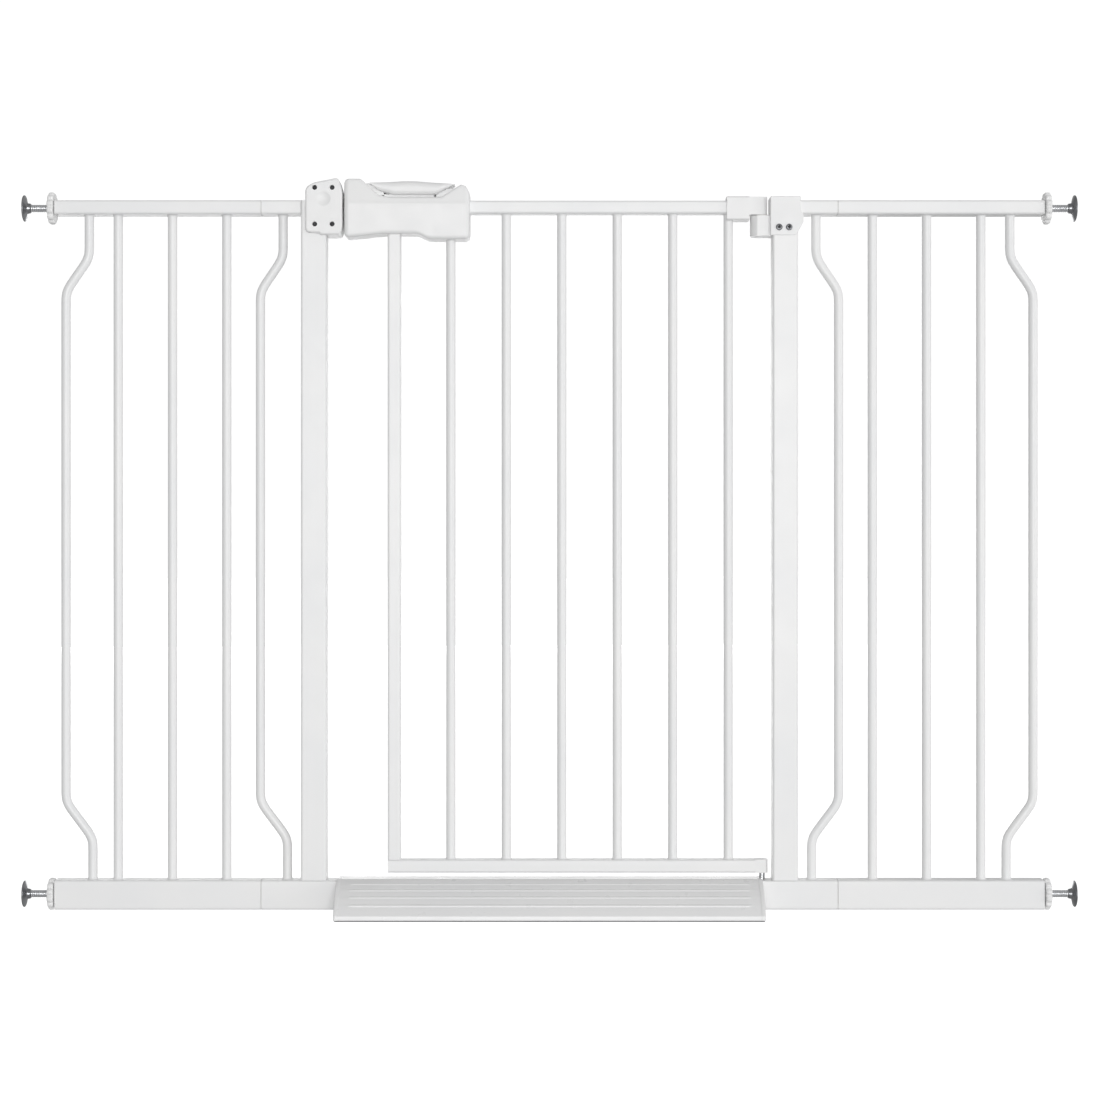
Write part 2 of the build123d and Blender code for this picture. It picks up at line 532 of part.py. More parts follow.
sleeve -= rod_z(SLEEVE_BOTTOM_Z - 1, DOOR_TOP_RAIL_Z + 1, door_bars_x[-1], BAR_RADIUS + 0.1)
sleeve -= rod_z(TONGUE_Z - 1, UPPER_PIN_Z[1] + 0.3, PIVOT_X, PIN_BORE)
nodes["hinge_sleeve"] = sleeve

# ---- handle: two shells round the door's top corner ---------------------------------------
HANDLE_OUTLINE = (
    (HANDLE_LEFT_X, 727.5, 3.0), (HANDLE_LEFT_X, 790.6, 5.0), (-202.5, 790.6, 3.0),
    (-183.5, 773.0, 6.0), (-172.0, 770.6, 20.0), (-116.5, 770.6, 12.0), (-94.5, 784.9, 4.0),
    (-85.6, 777.0, 7.0), (-85.6, 726.0, 6.0), (-130.5, 726.0, 7.0), (-142.0, 731.8, 12.0),
    (-178.0, 731.8, 60.0),
)
CHANNEL_PLAY = 0.3
HANDLE_EDGE = 2.4
handle = plate_xz(HANDLE_OUTLINE, -HANDLE_HALF_DEPTH, HANDLE_HALF_DEPTH)
handle = fillet(handle.faces().filter_by(Axis.Y).edges(), HANDLE_EDGE)
handle -= bar_x(DOOR_LEFT_X, -80, door_top_mid, DOOR_DEPTH, DOOR_RAIL_HEIGHT, TUBE_CORNER)
handle -= bar_z(
    720, DOOR_TOP_RAIL_Z + 0.5, door_upright_mid, DOOR_UPRIGHT_WIDTH, DOOR_DEPTH, TUBE_CORNER)
handle -= rod_z(720, DOOR_TOP_RAIL_Z + 1, door_bars_x[0], BAR_RADIUS + 0.1)
channel_y = BOLT_DEPTH / 2 + CHANNEL_PLAY
channel_z = BOLT_HEIGHT / 2 + CHANNEL_PLAY
handle -= block(
    HANDLE_LEFT_X - 5, DOOR_LEFT_X, -channel_y, channel_y, BOLT_Z - channel_z, BOLT_Z + channel_z)
STEM_X = (-193.0, -185.0)
STEM_HALF_DEPTH = 3.0
handle -= block(
    STEM_X[0] - LATCH_THROW - 0.5, STEM_X[1] + LATCH_DRAW + 0.5, -STEM_HALF_DEPTH - CHANNEL_PLAY,
    STEM_HALF_DEPTH + CHANNEL_PLAY, BOLT_Z, 800)
WINGS = ((-199.5, -178.0, 771.6, 786.8), (-124.0, -101.2, 771.6, 781.4))    # x0, x1, z0, z1
KEEL_TOP_Z = 775.0
WING_HALF_DEPTH = 7.0
WING_PLAY = 0.4
WING_END_PLAY = (0.6, 0.9)
for x0, x1, z0, z1 in WINGS:
    handle -= block(
        x0 - LATCH_THROW - WING_END_PLAY[0], x1 + LATCH_DRAW + WING_END_PLAY[1],
        -WING_HALF_DEPTH - WING_PLAY, WING_HALF_DEPTH + WING_PLAY, z0 - WING_PLAY, z1 + WING_PLAY)
SHELL_WALL = 3.5
POCKET_HALF = HANDLE_HALF_DEPTH - SHELL_WALL
POCKETS_X = ((-201.0, -179.0), (-156.0, -141.0), (-129.0, -114.0), (-99.0, -90.0))
POCKETS_Z = (736.5, 751.0)
for x0, x1 in POCKETS_X:
    handle -= block(x0, x1, -POCKET_HALF, POCKET_HALF, *POCKETS_Z)

HANDLE_SHANK = 1.6
HANDLE_HEAD = 3.0
handle_front = handle & FRONT_HALF
handle_rear = handle & REAR_HALF
handle_screws = []
for x, z in HANDLE_SCREWS:
    head_y = HANDLE_HALF_DEPTH - 1.0
    seat_y = head_y - 2.0
    handle_rear -= rod_y(seat_y, HANDLE_HALF_DEPTH + 1, x, z, HANDLE_HEAD)
    handle_rear -= rod_y(-1, seat_y, x, z, HANDLE_SHANK)
    handle_front -= rod_y(-10, 1, x, z, HANDLE_SHANK)
    handle_screws.append(screw_y(head_y, -1, x, z, HANDLE_HEAD, 2.0, HANDLE_SHANK, seat_y + 10))
nodes["handle_front"] = handle_front
nodes["handle_rear"] = handle_rear
nodes["handle_screws"] = handle_screws

# ---- latch: thumb slider, bolt and its spring ---------------------------------------------
SLIDER_OUTLINE = (
    (-193.5, 786.6, 1.2), (-150.0, 789.6, 120.0), (-102.0, 785.4, 1.2), (-122.0, 773.8, 8.0),
    (-168.0, 773.8, 25.0), (-184.0, 778.8, 8.0),
)
SLIDER_HALF_DEPTH = 12.0
SPRING_BORE = 2.7
SPRING_START_X = -210.0
SLIDER_EDGE = 0.9
slider = plate_xz(SLIDER_OUTLINE, -SLIDER_HALF_DEPTH, SLIDER_HALF_DEPTH)
slider = fillet(slider.faces().filter_by(Axis.Y).edges(), SLIDER_EDGE)
for x0, x1, z0, z1 in (*WINGS, (WINGS[0][1], WINGS[1][0], WINGS[0][2], KEEL_TOP_Z)):
    slider += block(x0, x1, -WING_HALF_DEPTH, WING_HALF_DEPTH, z0, z1)
bolt_top = BOLT_Z + BOLT_HEIGHT / 2
slider += block(*STEM_X, -STEM_HALF_DEPTH, STEM_HALF_DEPTH, bolt_top, 783.0)
bolt = block(
    BOLT_TIP_X, BOLT_END_X, -BOLT_DEPTH / 2, BOLT_DEPTH / 2, BOLT_Z - BOLT_HEIGHT / 2, bolt_top)
bolt = fillet(bolt.edges().filter_by(Axis.Y).group_by(Axis.X)[0], 1.2)
bolt -= rod_x(SPRING_START_X, BOLT_END_X + 1, BOLT_Z, SPRING_BORE)
nodes["thumb_slider"] = slider
nodes["latch_bolt"] = bolt


def bolt_spring(coils, wire_radius, coil_radius):
    """A compression spring along X between the bolt's bore and the door's upright."""
    length = DOOR_LEFT_X - SPRING_START_X - 2 * wire_radius - 0.2
    helix = Helix(pitch=length / coils, height=length, radius=coil_radius)
    wire = sweep(Plane(origin=helix @ 0, z_dir=helix % 0) * Circle(wire_radius), path=helix)
    start = Location((SPRING_START_X + wire_radius + 0.1, 0, BOLT_Z), (0, 90, 0))
    return start * wire


nodes["latch_spring"] = bolt_spring(coils=9, wire_radius=0.35, coil_radius=2.2)

# ---- files ---------------------------------------------------------------------------------
os.makedirs("parts", exist_ok=True)
for name, shape in nodes.items():
    solids = shape if isinstance(shape, list) else [shape]
    piece = Compound(children=[s for item in solids for s in item.solids()])
    export_step(piece if len(piece.solids()) > 1 else piece.solids()[0], f"parts/{name}.step")
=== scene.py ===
"""Looks of a white walk-through pet gate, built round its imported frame.

Metres, +Z up, the front towards -Y, the width along X. Every new piece is a surface worked out
on a grid with numpy, in the gate's own frame, and rides on the body that it belongs to.
"""
import json
import math

import bpy
import numpy as np
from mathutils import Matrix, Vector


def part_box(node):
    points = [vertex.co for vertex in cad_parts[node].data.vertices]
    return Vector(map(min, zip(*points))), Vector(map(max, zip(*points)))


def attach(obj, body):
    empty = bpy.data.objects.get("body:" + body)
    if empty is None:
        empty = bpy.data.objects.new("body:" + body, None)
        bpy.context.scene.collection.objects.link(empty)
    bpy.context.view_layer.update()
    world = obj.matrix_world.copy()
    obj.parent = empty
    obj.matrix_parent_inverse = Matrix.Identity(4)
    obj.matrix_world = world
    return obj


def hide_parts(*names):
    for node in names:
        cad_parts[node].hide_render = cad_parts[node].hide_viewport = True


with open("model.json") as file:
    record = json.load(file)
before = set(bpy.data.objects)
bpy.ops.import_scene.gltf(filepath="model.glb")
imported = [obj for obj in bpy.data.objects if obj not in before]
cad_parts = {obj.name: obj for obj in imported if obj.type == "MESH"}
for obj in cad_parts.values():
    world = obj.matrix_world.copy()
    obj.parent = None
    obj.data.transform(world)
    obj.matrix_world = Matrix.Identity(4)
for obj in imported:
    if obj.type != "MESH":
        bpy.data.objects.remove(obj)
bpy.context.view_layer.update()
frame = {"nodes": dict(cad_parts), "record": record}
NODES = frame["nodes"]
MM = 0.001

# ---- sizes of the gate's own pieces, metres ----------------------------------------------
BAR_RADIUS = 5.0 * MM
WELD_LEG = 2.4 * MM
ROD_RADIUS = 4.0 * MM
THREAD_PITCH = 2.0 * MM
THREAD_DEPTH = 0.32 * MM
EXTENSION_BARS_X = (348.0 * MM, 406.5 * MM, 465.0 * MM)
OUTER_S_BAR = (496.2 * MM, 521.3 * MM, 492.3 * MM)
INNER_S_BAR = (287.2 * MM, 311.7 * MM, 282.5 * MM)
S_BEND_HEIGHTS = (707.2 * MM, 671.1 * MM, 120.5 * MM, 81.7 * MM)
DOOR_BARS_X = tuple((-106.4 + 59.8 * i) * MM for i in range(6))
SIDES = (("left", -1.0), ("right", 1.0))
LEVELS = ("top", "bottom")


# ---- surfaces ----------------------------------------------------------------------------
def loft(rings, closed=True, capped=True):
    """Rings of points (rings, points, 3) joined in order by four-sided faces.

    closed joins each ring's last point to its first; capped closes the first and last rings.
    """
    count, around = rings.shape[:2]
    index = np.arange(count * around).reshape(count, around)
    after = np.roll(index, -1, axis=1)
    if not closed:
        index, after = index[:, :-1], after[:, :-1]
    quads = np.stack([index[:-1], after[:-1], after[1:], index[1:]], axis=-1).reshape(-1, 4)
    faces = quads.tolist()
    if capped:
        first = np.arange(around)
        faces.append(first[::-1].tolist())
        faces.append((first + (count - 1) * around).tolist())
    return rings.reshape(-1, 3), faces


def torus_loft(rings):
    """Closed rings joined in order, with the last joined to the first, as round a bore."""
    return loft(np.concatenate([rings, rings[:1]]), capped=False)


def volume(points, faces):
    """Six times the signed volume inside the faces: positive when they point outwards."""
    total = 0.0
    for size in {len(face) for face in faces}:
        group = np.array([face for face in faces if len(face) == size])
        corner = points[group]
        for k in range(1, size - 1):
            total += np.einsum(
                "ij,ij->i", corner[:, 0], np.cross(corner[:, k], corner[:, k + 1])).sum()
    return total


def outward(surface):
    """The surface with every face turned over if its inside volume comes out negative."""
    points, faces = surface
    if volume(points - points.mean(axis=0), faces) < 0:
        faces = [face[::-1] for face in faces]
    return points, faces


def piece(name, surfaces, material, body, stands_for=(), crease=32.0):
    """One object of several surfaces, smooth but for edges sharper than crease degrees."""
    points, faces, start = [], [], 0
    for surface in surfaces:
        surface_points, surface_faces = outward(surface)
        points.append(surface_points)
        faces += [[start + i for i in face] for face in surface_faces]
        start += len(surface_points)
    mesh = bpy.data.meshes.new(name)
    mesh.from_pydata(np.concatenate(points).tolist(), [], faces)
    mesh.polygons.foreach_set("use_smooth", np.ones(len(mesh.polygons), dtype=bool))
    mesh.set_sharp_from_angle(angle=math.radians(crease))
    mesh.materials.append(material)
    mesh.validate()
    obj = bpy.data.objects.new(name, mesh)
    bpy.context.scene.collection.objects.link(obj)
    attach(obj, body)
    if stands_for:
        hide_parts(*stands_for)
    return obj


def flipped(surface):
    """The same surface on the other side of the gate's centre."""
    points, faces = surface
    return points * np.array([-1.0, 1.0, 1.0]), faces


def about_x(profile, z, around, scallop=None):
    """A profile of (x, radius) rows turned about the line along X at height z.

    scallop(angle, row) gives the radius taken off at each angle of each row.
    """
    angle = np.linspace(0.0, 2 * math.pi, around, endpoint=False)
    x, radius = np.array(profile).T
    radius = radius[:, None] - (scallop(angle) if scallop else 0.0)
    y = radius * np.cos(angle)
    return np.stack([np.repeat(x[:, None], around, axis=1), y, z + radius * np.sin(angle)], axis=-1)


def soft_steps(x, corners_x, corners_z, blur):
    """Straight runs between corners, with the corners rounded off over about blur."""
    offset = np.linspace(-2.5, 2.5, 21)
    weight = np.exp(-offset ** 2 / 2)
    runs = np.interp(x[:, None] + offset * blur, corners_x, corners_z)
    return (runs * weight).sum(axis=1) / weight.sum()


# ---- materials ---------------------------------------------------------------------------
def shader(name, roughness, metallic=0.0, coat=0.0, coat_roughness=0.1, specular=0.5):
    """A new material with its main shader's plain numbers set."""
    material = bpy.data.materials.new(name)
    material.use_nodes = True
    main = material.node_tree.nodes["Principled BSDF"]
    main.inputs["Roughness"].default_value = roughness
    main.inputs["Metallic"].default_value = metallic
    main.inputs["Coat Weight"].default_value = coat
    main.inputs["Coat Roughness"].default_value = coat_roughness
    main.inputs["Specular IOR Level"].default_value = specular
    return material, main


def noise(material, scale, detail=3.0, stretch=(1.0, 1.0, 1.0), rough=0.5):
    """A noise pattern on the piece's own coordinates, finer with scale, in cycles per metre."""
    nodes, links = material.node_tree.nodes, material.node_tree.links
    place = nodes.new("ShaderNodeTexCoord")
    mapping = nodes.new("ShaderNodeMapping")
    mapping.inputs["Scale"].default_value = stretch
    pattern = nodes.new("ShaderNodeTexNoise")
    pattern.inputs["Scale"].default_value = scale
    pattern.inputs["Detail"].default_value = detail
    pattern.inputs["Roughness"].default_value = rough
    links.new(place.outputs["Object"], mapping.inputs["Vector"])
    links.new(mapping.outputs["Vector"], pattern.inputs["Vector"])
    return pattern.outputs["Fac"]


def ramp(material, value, low, high, dark, light):
    """A colour that goes from dark to light as value goes from low to high."""
    node = material.node_tree.nodes.new("ShaderNodeValToRGB")
    node.color_ramp.elements[0].position = low
    node.color_ramp.elements[1].position = high
    node.color_ramp.elements[0].color = (*dark, 1.0)
    node.color_ramp.elements[1].color = (*light, 1.0)
    material.node_tree.links.new(value, node.inputs["Fac"])
    return node.outputs["Color"]


def spread(material, value, low, high):
    """value mapped from its middle range to low...high, for a roughness."""
    node = material.node_tree.nodes.new("ShaderNodeMapRange")
    node.inputs["From Min"].default_value = 0.3
    node.inputs["From Max"].default_value = 0.7
    node.inputs["To Min"].default_value = low
    node.inputs["To Max"].default_value = high
    material.node_tree.links.new(value, node.inputs["Value"])
    return node.outputs["Result"]


def bumped(material, main, heights):
    """Chains bumps of (value, strength, distance) into the shader's normal."""
    links, previous = material.node_tree.links, None
    for value, strength, distance in heights:
        node = material.node_tree.nodes.new("ShaderNodeBump")
        node.inputs["Strength"].default_value = strength
        node.inputs["Distance"].default_value = distance
        links.new(value, node.inputs["Height"])
        if previous:
            links.new(previous, node.inputs["Normal"])
        previous = node.outputs["Normal"]
    links.new(previous, main.inputs["Normal"])


def finish_of(name, dark, light, roughness, blotch, grain, **plain):
    """A finish with a slow colour drift, a varying gloss and a fine surface grain.

    blotch and grain are in cycles per metre; grain comes with its bump strength and depth.
    """
    material, main = shader(name, roughness[0], **plain)
    links = material.node_tree.links
    drift = noise(material, blotch, detail=4.0)
    links.new(ramp(material, drift, 0.35, 0.65, dark, light), main.inputs["Base Color"])
    links.new(spread(material, noise(material, blotch * 6), *roughness), main.inputs["Roughness"])
    scale, strength, depth = grain
    fine = noise(material, scale, detail=2.0)
    coarse = noise(material, scale / 5, detail=1.0)
    bumped(material, main, [(coarse, strength * 0.6, depth * 2), (fine, strength, depth)])
    return material


paint = finish_of(
    "white powder coat", (0.835, 0.84, 0.845), (0.865, 0.865, 0.862), (0.38, 0.44), 9.0,
    (900.0, 0.16, 0.05 * MM), coat=0.12, coat_roughness=0.25)
plastic = finish_of(
    "white moulded plastic", (0.83, 0.832, 0.835), (0.85, 0.85, 0.848), (0.34, 0.44), 14.0,
    (2600.0, 0.22, 0.03 * MM))
ramp_plastic = finish_of(
    "ramp plastic", (0.79, 0.792, 0.795), (0.81, 0.81, 0.81), (0.27, 0.31), 11.0,
    (1500.0, 0.12, 0.03 * MM))
nylon = finish_of(
    "natural nylon", (0.62, 0.61, 0.58), (0.68, 0.67, 0.64), (0.42, 0.55), 20.0,
    (2000.0, 0.2, 0.04 * MM))
rubber = finish_of(
    "grey rubber", (0.20, 0.20, 0.205), (0.25, 0.25, 0.25), (0.70, 0.85), 30.0,
    (2400.0, 0.4, 0.08 * MM), specular=0.3)
# Black oxide for the keeper screws and latch bolt; on the keeper screws it also stands partly for
# the shade in their recesses, and on the socket discs it is painted shade alone.
black_oxide_and_shade = finish_of(
    "black oxide steel and painted shade", (0.012, 0.012, 0.013), (0.03, 0.03, 0.032), (0.35, 0.5), 60.0,
    (2500.0, 0.3, 0.03 * MM), metallic=0.7)


def zinc_plate(name, dark, light):
    """Zinc plate: metal with fine turning lines round X and a slow change of gloss."""
    material, main = shader(name, 0.3, metallic=1.0)
    links = material.node_tree.links
    drift = noise(material, 45.0, detail=5.0)
    links.new(ramp(material, drift, 0.35, 0.65, dark, light), main.inputs["Base Color"])
    lines = noise(material, 120.0, detail=2.0, stretch=(40.0, 1.0, 1.0))
    links.new(spread(material, lines, 0.26, 0.38), main.inputs["Roughness"])
    bumped(material, main, [(lines, 0.12, 0.03 * MM)])
    return material


zinc = zinc_plate("bright zinc", (0.56, 0.57, 0.59), (0.70, 0.71, 0.72))
# A darker copy of the zinc plate for the cups and bracket screws: its darkness is painted shade,
# not a duller finish.
zinc_with_painted_shade = zinc_plate("zinc darkened as painted shade", (0.20, 0.205, 0.215), (0.29, 0.295, 0.305))
FINISHES = {
    "white_paint": paint, "white_plastic": plastic, "ramp_plastic": ramp_plastic,
    "zinc": zinc, "nylon": nylon, "rubber": rubber, "black_screw": black_oxide_and_shade,
}
for part in frame["record"]["subparts"]:
    materials = NODES[part["node"]].data.materials
    materials.clear()
    materials.append(FINISHES[part["material_slot"]])


# ---- round bars with a weld fillet at each end -------------------------------------------
rail_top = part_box("base_bottom_rail")[1][2]
rail_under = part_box("base_left_top_stub")[0][2]
door_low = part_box("door_bottom_rail")[1][2]
door_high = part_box("door_top_rail")[0][2]


def weld(distance, leg):
    """How far a weld stands out at a distance from the rail: a hollow quarter circle."""
    reach = np.clip(distance / leg, 0.0, 1.0)
    return leg * (1.0 - np.sqrt(1.0 - (1.0 - reach) ** 2)) * 0.72


def bar(route_x, z, around=28):
    """A round bar whose centre runs through (route_x, z), swept square to its route."""
    slope = np.gradient(route_x, z)
    length = np.sqrt(1.0 + slope ** 2)
    ends = np.minimum(z - z[0], z[-1] - z)
    radius = BAR_RADIUS + weld(ends, WELD_LEG)
    angle = np.linspace(0.0, 2 * math.pi, around, endpoint=False)
    across = radius[:, None] * np.cos(angle)
    rings = np.stack([
        route_x[:, None] + across / length[:, None],
        radius[:, None] * np.sin(angle),
        z[:, None] - across * (slope / length)[:, None]], axis=-1)
    return loft(rings)


def bar_heights(z0, z1, bends=()):
    """Heights along a bar: close together in the welds and the bends, wide apart between."""
    near = WELD_LEG * np.array([0.0, 0.04, 0.12, 0.25, 0.42, 0.65, 1.0])
    runs = [z0 + near, z1 - near, np.linspace(z0, z1, 12)]
    runs += [np.linspace(low, high, 36) for low, high in bends]
    return np.unique(np.round(np.concatenate(runs), 6))


def straight_bar(x, z0, z1):
    """A straight bar at x between two rails."""
    z = bar_heights(z0, z1)
    return bar(np.full(len(z), x), z)


def s_bar(top_x, bulge_x, foot_x):
    """A bar with an S bend near each end, its corners rounded off over about 7 mm."""
    z1, z2, z3, z4 = S_BEND_HEIGHTS
    margin = 20 * MM
    z = bar_heights(rail_top, rail_under, ((z4 - margin, z3 + margin), (z2 - margin, z1 + margin)))
    x = soft_steps(z, (z4, z3, z2, z1), (foot_x, bulge_x, bulge_x, top_x), 5.5 * MM)
    return bar(x, z)


extension_bars = [straight_bar(x, rail_top, rail_under) for x in EXTENSION_BARS_X]
for side, sign in SIDES:
    place = flipped if sign < 0 else (lambda surface: surface)
    piece(f"{side}_extension_round_bars", [place(b) for b in extension_bars], paint,
          "frame", (f"{side}_extension_bars",))
    piece(f"{side}_extension_bent_bar", [place(s_bar(*OUTER_S_BAR))], paint,
          "frame", (f"{side}_extension_s_bar",))
    piece(f"base_{side}_bent_bar", [place(s_bar(*INNER_S_BAR))], paint,
          "frame", (f"base_{side}_s_bar",))
piece("door_round_bars", [straight_bar(x, door_low, door_high) for x in DOOR_BARS_X], paint,
      "door", ("door_bars",))


# ---- spindles: threaded rod, dished cup, rubber pad, scalloped wheel ---------------------
def threaded_rod(x0, x1, z, around=28):
    """A rod along X whose radius falls by a rounded groove that winds once in each pitch."""
    x = np.arange(x0, x1, THREAD_PITCH / 9)
    angle = np.linspace(0.0, 2 * math.pi, around, endpoint=False)
    phase = x[:, None] / THREAD_PITCH - angle / (2 * math.pi)
    groove = (0.5 + 0.5 * np.cos(2 * math.pi * phase)) ** 1.6
    ends = np.clip(np.minimum(x - x0, x1 - x) / THREAD_PITCH, 0.0, 1.0)
    radius = ROD_RADIUS - THREAD_DEPTH * groove * ends[:, None] - 0.6 * MM * (1 - ends[:, None])
    return loft(np.stack([
        np.repeat(x[:, None], around, axis=1), radius * np.cos(angle),
        z + radius * np.sin(angle)], axis=-1))


def arc_rows(centre_x, centre_r, radius, start, stop, steps=7):
    """Rows of (x, radius) along an arc, in degrees, 0 along +X and 90 away from the axis."""
    angle = np.radians(np.linspace(start, stop, steps))
    return np.stack([centre_x + radius * np.cos(angle), centre_r + radius * np.sin(angle)], axis=-1)


def cup(rim_face, z):
    """A pressed cup: a collar round the rod, a shallow cone and a rounded rim, hollow outside."""
    x = rim_face
    rows = np.concatenate([
        [(x - 7.7 * MM, 3.9 * MM)], arc_rows(x - 7.2 * MM, 4.7 * MM, 0.5 * MM, 180, 90, 4),
        arc_rows(x - 4.9 * MM, 7.1 * MM, 1.5 * MM, -90, -30, 5),
        arc_rows(x - 0.85 * MM, 13.4 * MM, 0.85 * MM, 150, 0, 9),
        [(x - 0.1 * MM, 12.2 * MM), (x - 0.9 * MM, 11.65 * MM), (x - 1.8 * MM, 11.6 * MM),
         (x - 1.8 * MM, 3.9 * MM)]])
    return torus_loft(about_x(rows, z, 64))


def pad(x_face, z):
    """A rubber disc with a rounded rim and three shallow rings in its face."""
    face = np.linspace(10.6 * MM, 0.6 * MM, 40)
    rings = 0.3 * MM * np.clip(np.cos(face / (3.2 * MM) * 2 * math.pi), 0.0, 1.0) ** 2
    rows = np.concatenate([
        [(x_face - 2.3 * MM, 11.5 * MM)],
        arc_rows(x_face - 0.7 * MM, 10.9 * MM, 0.7 * MM, 90, 0, 6),
        np.stack([x_face - rings * (face < 9.6 * MM), face], axis=-1)])
    return loft(about_x(rows, z, 64))


def wheel(x_back, x_front, z, lobes=12):
    """A hand wheel with lobes, rounded rims and a hub raised a little on both faces."""
    rim, outer = 2.2 * MM, 17.2 * MM
    bore, hub = ROD_RADIUS + 0.06 * MM, 8.6 * MM
    inset = 0.9 * MM
    back, front = x_back + inset, x_front - inset
    rows = np.concatenate([
        [(x_back + 0.4 * MM, bore)],
        arc_rows(x_back + 0.5 * MM, hub - 0.5 * MM, 0.5 * MM, 180, 90, 4),
        [(back, hub + 0.5 * MM)], arc_rows(back + rim, outer - rim, rim, 180, 90, 9),
        arc_rows(front - rim, outer - rim, rim, 90, 0, 9), [(front, hub + 0.5 * MM)],
        arc_rows(x_front - 0.5 * MM, hub - 0.5 * MM, 0.5 * MM, 90, 0, 4),
        [(x_front - 0.4 * MM, bore)]])
    part = np.clip((rows[:, 1] - 10.0 * MM) / (outer - 10.0 * MM), 0.0, 1.0)[:, None] ** 1.5

    def lobed(angle):
        wave = 0.5 + 0.5 * np.cos(lobes * angle)
        return part * 2.0 * MM * (wave ** 1.8)

    return torus_loft(about_x(rows, z, 240, lobed))


for level in LEVELS:
    low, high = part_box(f"spindle_right_{level}")
    z = (low[2] + high[2]) / 2
    pad_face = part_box(f"wall_pad_right_{level}")[1][0]
    wheel_low, wheel_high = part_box(f"wheel_right_{level}")
    rim_face = high[0]
    rod = threaded_rod(low[0], rim_face - 4 * MM, z)
    for side, sign in SIDES:
        place = flipped if sign < 0 else (lambda surface: surface)
        name = f"{side}_{level}"
        body = f"spindle_{name}"
        piece(f"threaded_spindle_{name}", [place(rod)], zinc,
              body, (f"spindle_{name}",), crease=50.0)
        piece(f"pressed_cup_{name}", [place(cup(rim_face, z))], zinc_with_painted_shade, body)
        piece(f"rubber_pad_{name}", [place(pad(pad_face, z))], rubber,
              body, (f"wall_pad_{name}",))
        hand_wheel = wheel(wheel_low[0], wheel_high[0], z)
        piece(f"hand_wheel_{name}", [place(hand_wheel)], plastic,
              f"wheel_{name}", (f"wheel_{name}",))


# ---- socket screws in the hinge bracket --------------------------------------------------
def socket_screw(x, y, z, radius, rise, reach):
    """A domed screw along Y whose head stands rise in front of y, with a round-bottomed socket."""
    turn = np.linspace(0.0, math.pi / 2, 9)
    dome_y = y - rise * np.sin(turn)
    dome_r = radius - 0.42 * radius * (1 - np.cos(turn))
    rows = np.concatenate([
        [(y + reach, 0.8 * MM), (y + reach, 1.8 * MM), (y, 1.8 * MM), (y, radius)],
        np.stack([dome_y, dome_r], axis=-1)[1:],
        [(y - rise + 0.15 * MM, 0.53 * radius), (y - 0.1 * MM, 0.5 * radius), (y, 0.2 * radius)]])
    points = about_x(rows, 0.0, 48)[..., [1, 0, 2]]
    return loft(points + np.array([x, 0.0, z]))


def socket_shade_disc(x, y, z, radius):
    """A dark disc at the bottom of a socket screw's socket: painted shade, standing in for the
    shadow deep inside the socket.
    """
    rows = np.array([(y + 0.1 * MM, 0.47 * radius), (y - 0.5 * MM, 0.47 * radius)])
    return loft(about_x(rows, 0.0, 48)[..., [1, 0, 2]] + np.array([x, 0.0, z]))


screw_low, screw_high = (np.array(c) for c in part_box("hinge_bracket_screws"))
SCREW_HEAD = 3.6 * MM
bracket_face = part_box("hinge_bracket")[0][1]
screw_z = (screw_low[2] + screw_high[2]) / 2
screws_x = (screw_low[0] + SCREW_HEAD, screw_high[0] - SCREW_HEAD)
piece("bracket_socket_screws", [
    socket_screw(x, bracket_face, screw_z, SCREW_HEAD, 1.8 * MM, 11.0 * MM) for x in screws_x],
    zinc_with_painted_shade, "frame", ("hinge_bracket_screws",))
# dark discs put in the screw sockets as painted shade
piece("bracket_socket_shade_discs", [
    socket_shade_disc(x, bracket_face, screw_z, SCREW_HEAD) for x in screws_x],
    black_oxide_and_shade, "frame")


# ---- moulded shells: handle and thumb slider ---------------------------------------------
def end_rounding(x, radius):
    """How far a section has shrunk near either end of x, as a quarter circle rounds it."""
    distance = np.minimum(x - x[0], x[-1] - x)
    reach = np.clip(1.0 - distance / radius, 0.0, 1.0)
    return radius * (1.0 - np.sqrt(np.clip(1.0 - reach ** 2, 0.0, 1.0)))


def stations(x0, x1, radius, count):
    """Places along X, close together where the ends are rounded."""
    near = radius * (1.0 - np.cos(np.linspace(0.0, math.pi / 2, 9)))
    return np.unique(np.round(np.concatenate([
        x0 + near, x1 - near, np.linspace(x0 + radius, x1 - radius, count)]), 6))


